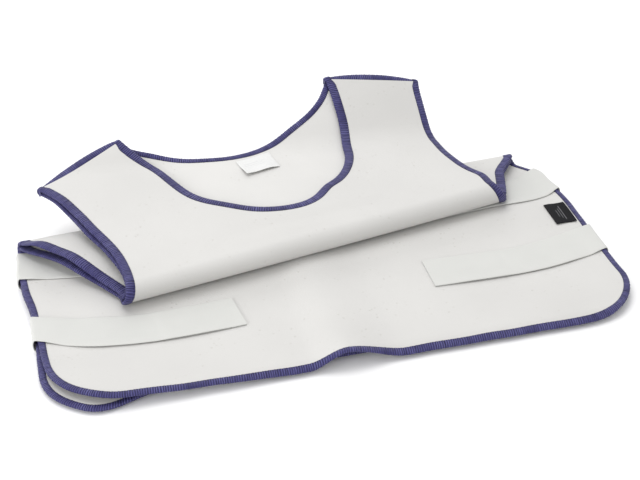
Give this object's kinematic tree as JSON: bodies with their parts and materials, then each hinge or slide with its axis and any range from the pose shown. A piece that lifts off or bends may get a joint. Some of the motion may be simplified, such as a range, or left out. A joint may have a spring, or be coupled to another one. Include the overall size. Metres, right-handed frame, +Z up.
{
  "type": "x-ray protection apron",
  "caption": "Poncho-style dental x-ray protection apron, folded in three, with bound edges, side straps and sewn-in labels.",
  "frame": {"origin": "middle of the outline, on the table the apron lies on", "axes": "+X along the hem to the right, +Y back from the hem towards the first fold, +Z up"},
  "size_m": [0.6265, 0.4406, 0.1081],
  "materials": {
    "cover_fabric": "off-white coated cloth, faintly dimpled",
    "lining_fabric": "off-white coated cloth, dimpled inner face",
    "lead_vinyl": "matt grey lead-filled vinyl",
    "binding_tape": "ribbed blue-violet edge binding",
    "strap_webbing": "white woven strap",
    "hook_tape": "white hook tape",
    "loop_tape": "white loop pile",
    "side_label": "black woven tag",
    "care_label": "white satin tag"
  },
  "bodies": {
    "skirt": {"hook_tape_upper_left": "hook_tape", "hook_tape_upper_right": "hook_tape", "loop_patch_lower_left": "loop_tape", "loop_patch_lower_right": "loop_tape", "loop_patch_upper_left": "loop_tape", "loop_patch_upper_right": "loop_tape", "skirt_back_core": "lead_vinyl", "skirt_back_cover": "cover_fabric", "skirt_back_hem_binding": "binding_tape", "skirt_back_lining": "lining_fabric", "skirt_front_core": "lead_vinyl", "skirt_front_cover": "cover_fabric", "skirt_front_hem_binding": "binding_tape", "skirt_front_lining": "lining_fabric", "strap_root_lower_left": "strap_webbing", "strap_root_lower_right": "strap_webbing", "strap_upper_left": "strap_webbing", "strap_upper_right": "strap_webbing"},
    "waist": {"waist_back_core": "lead_vinyl", "waist_back_cover": "cover_fabric", "waist_back_lining": "lining_fabric", "waist_back_side_binding_left": "binding_tape", "waist_back_side_binding_right": "binding_tape", "waist_front_core": "lead_vinyl", "waist_front_cover": "cover_fabric", "waist_front_lining": "lining_fabric", "waist_front_side_binding_left": "binding_tape", "waist_front_side_binding_right": "binding_tape"},
    "chest": {"chest_back_armhole_binding_left": "binding_tape", "chest_back_armhole_binding_right": "binding_tape", "chest_back_core": "lead_vinyl", "chest_back_cover": "cover_fabric", "chest_back_lining": "lining_fabric", "chest_back_neck_binding": "binding_tape", "chest_front_armhole_binding_left": "binding_tape", "chest_front_armhole_binding_right": "binding_tape", "chest_front_core": "lead_vinyl", "chest_front_cover": "cover_fabric", "chest_front_lining": "lining_fabric", "chest_front_neck_binding": "binding_tape", "shoulder_seam_left": "binding_tape", "shoulder_seam_right": "binding_tape"},
    "left_strap": {"strap_lower_left": "strap_webbing", "hook_tape_lower_left": "hook_tape"},
    "right_strap": {"strap_lower_right": "strap_webbing", "hook_tape_lower_right": "hook_tape"},
    "side_tag": {"side_label": "side_label"},
    "care_tag": {"care_label": "care_label"}
  },
  "joints": [
    {"name": "fold_1_open", "type": "hinge", "parent": "skirt", "child": "waist", "pos_m": [-0.00145, 0.08335, 0.01425], "axis": [-0.9979, -0.0645, 0], "range_deg": [0, 180]},
    {"name": "fold_2_open", "type": "hinge", "parent": "waist", "child": "chest", "pos_m": [0.01609, -0.04437, 0.03], "axis": [0.9823, 0.1874, 0], "range_deg": [0, 176]},
    {"name": "left_strap_peel", "type": "hinge", "parent": "skirt", "child": "left_strap", "pos_m": [-0.31072, -0.09944, 0.007], "axis": [-0.1132, -0.9936, 0], "range_deg": [0, 180]},
    {"name": "right_strap_peel", "type": "hinge", "parent": "skirt", "child": "right_strap", "pos_m": [0.30839, -0.08376, 0.007], "axis": [-0.0698, 0.9976, 0], "range_deg": [0, 180]},
    {"name": "side_tag_flip", "type": "hinge", "parent": "skirt", "child": "side_tag", "pos_m": [0.29066, -0.02727, 0.0127], "axis": [0, 1, 0], "range_deg": [0, 150]},
    {"name": "care_tag_flip", "type": "hinge", "parent": "chest", "child": "care_tag", "pos_m": [-0.0278, 0.12398, 0.04919], "axis": [-0.9823, -0.1874, 0], "range_deg": [0, 120]}
  ],
  "couplings": [
    {"joint": "fold_2_open", "follows": "fold_1_open", "ratio": 0.97778}
  ]
}
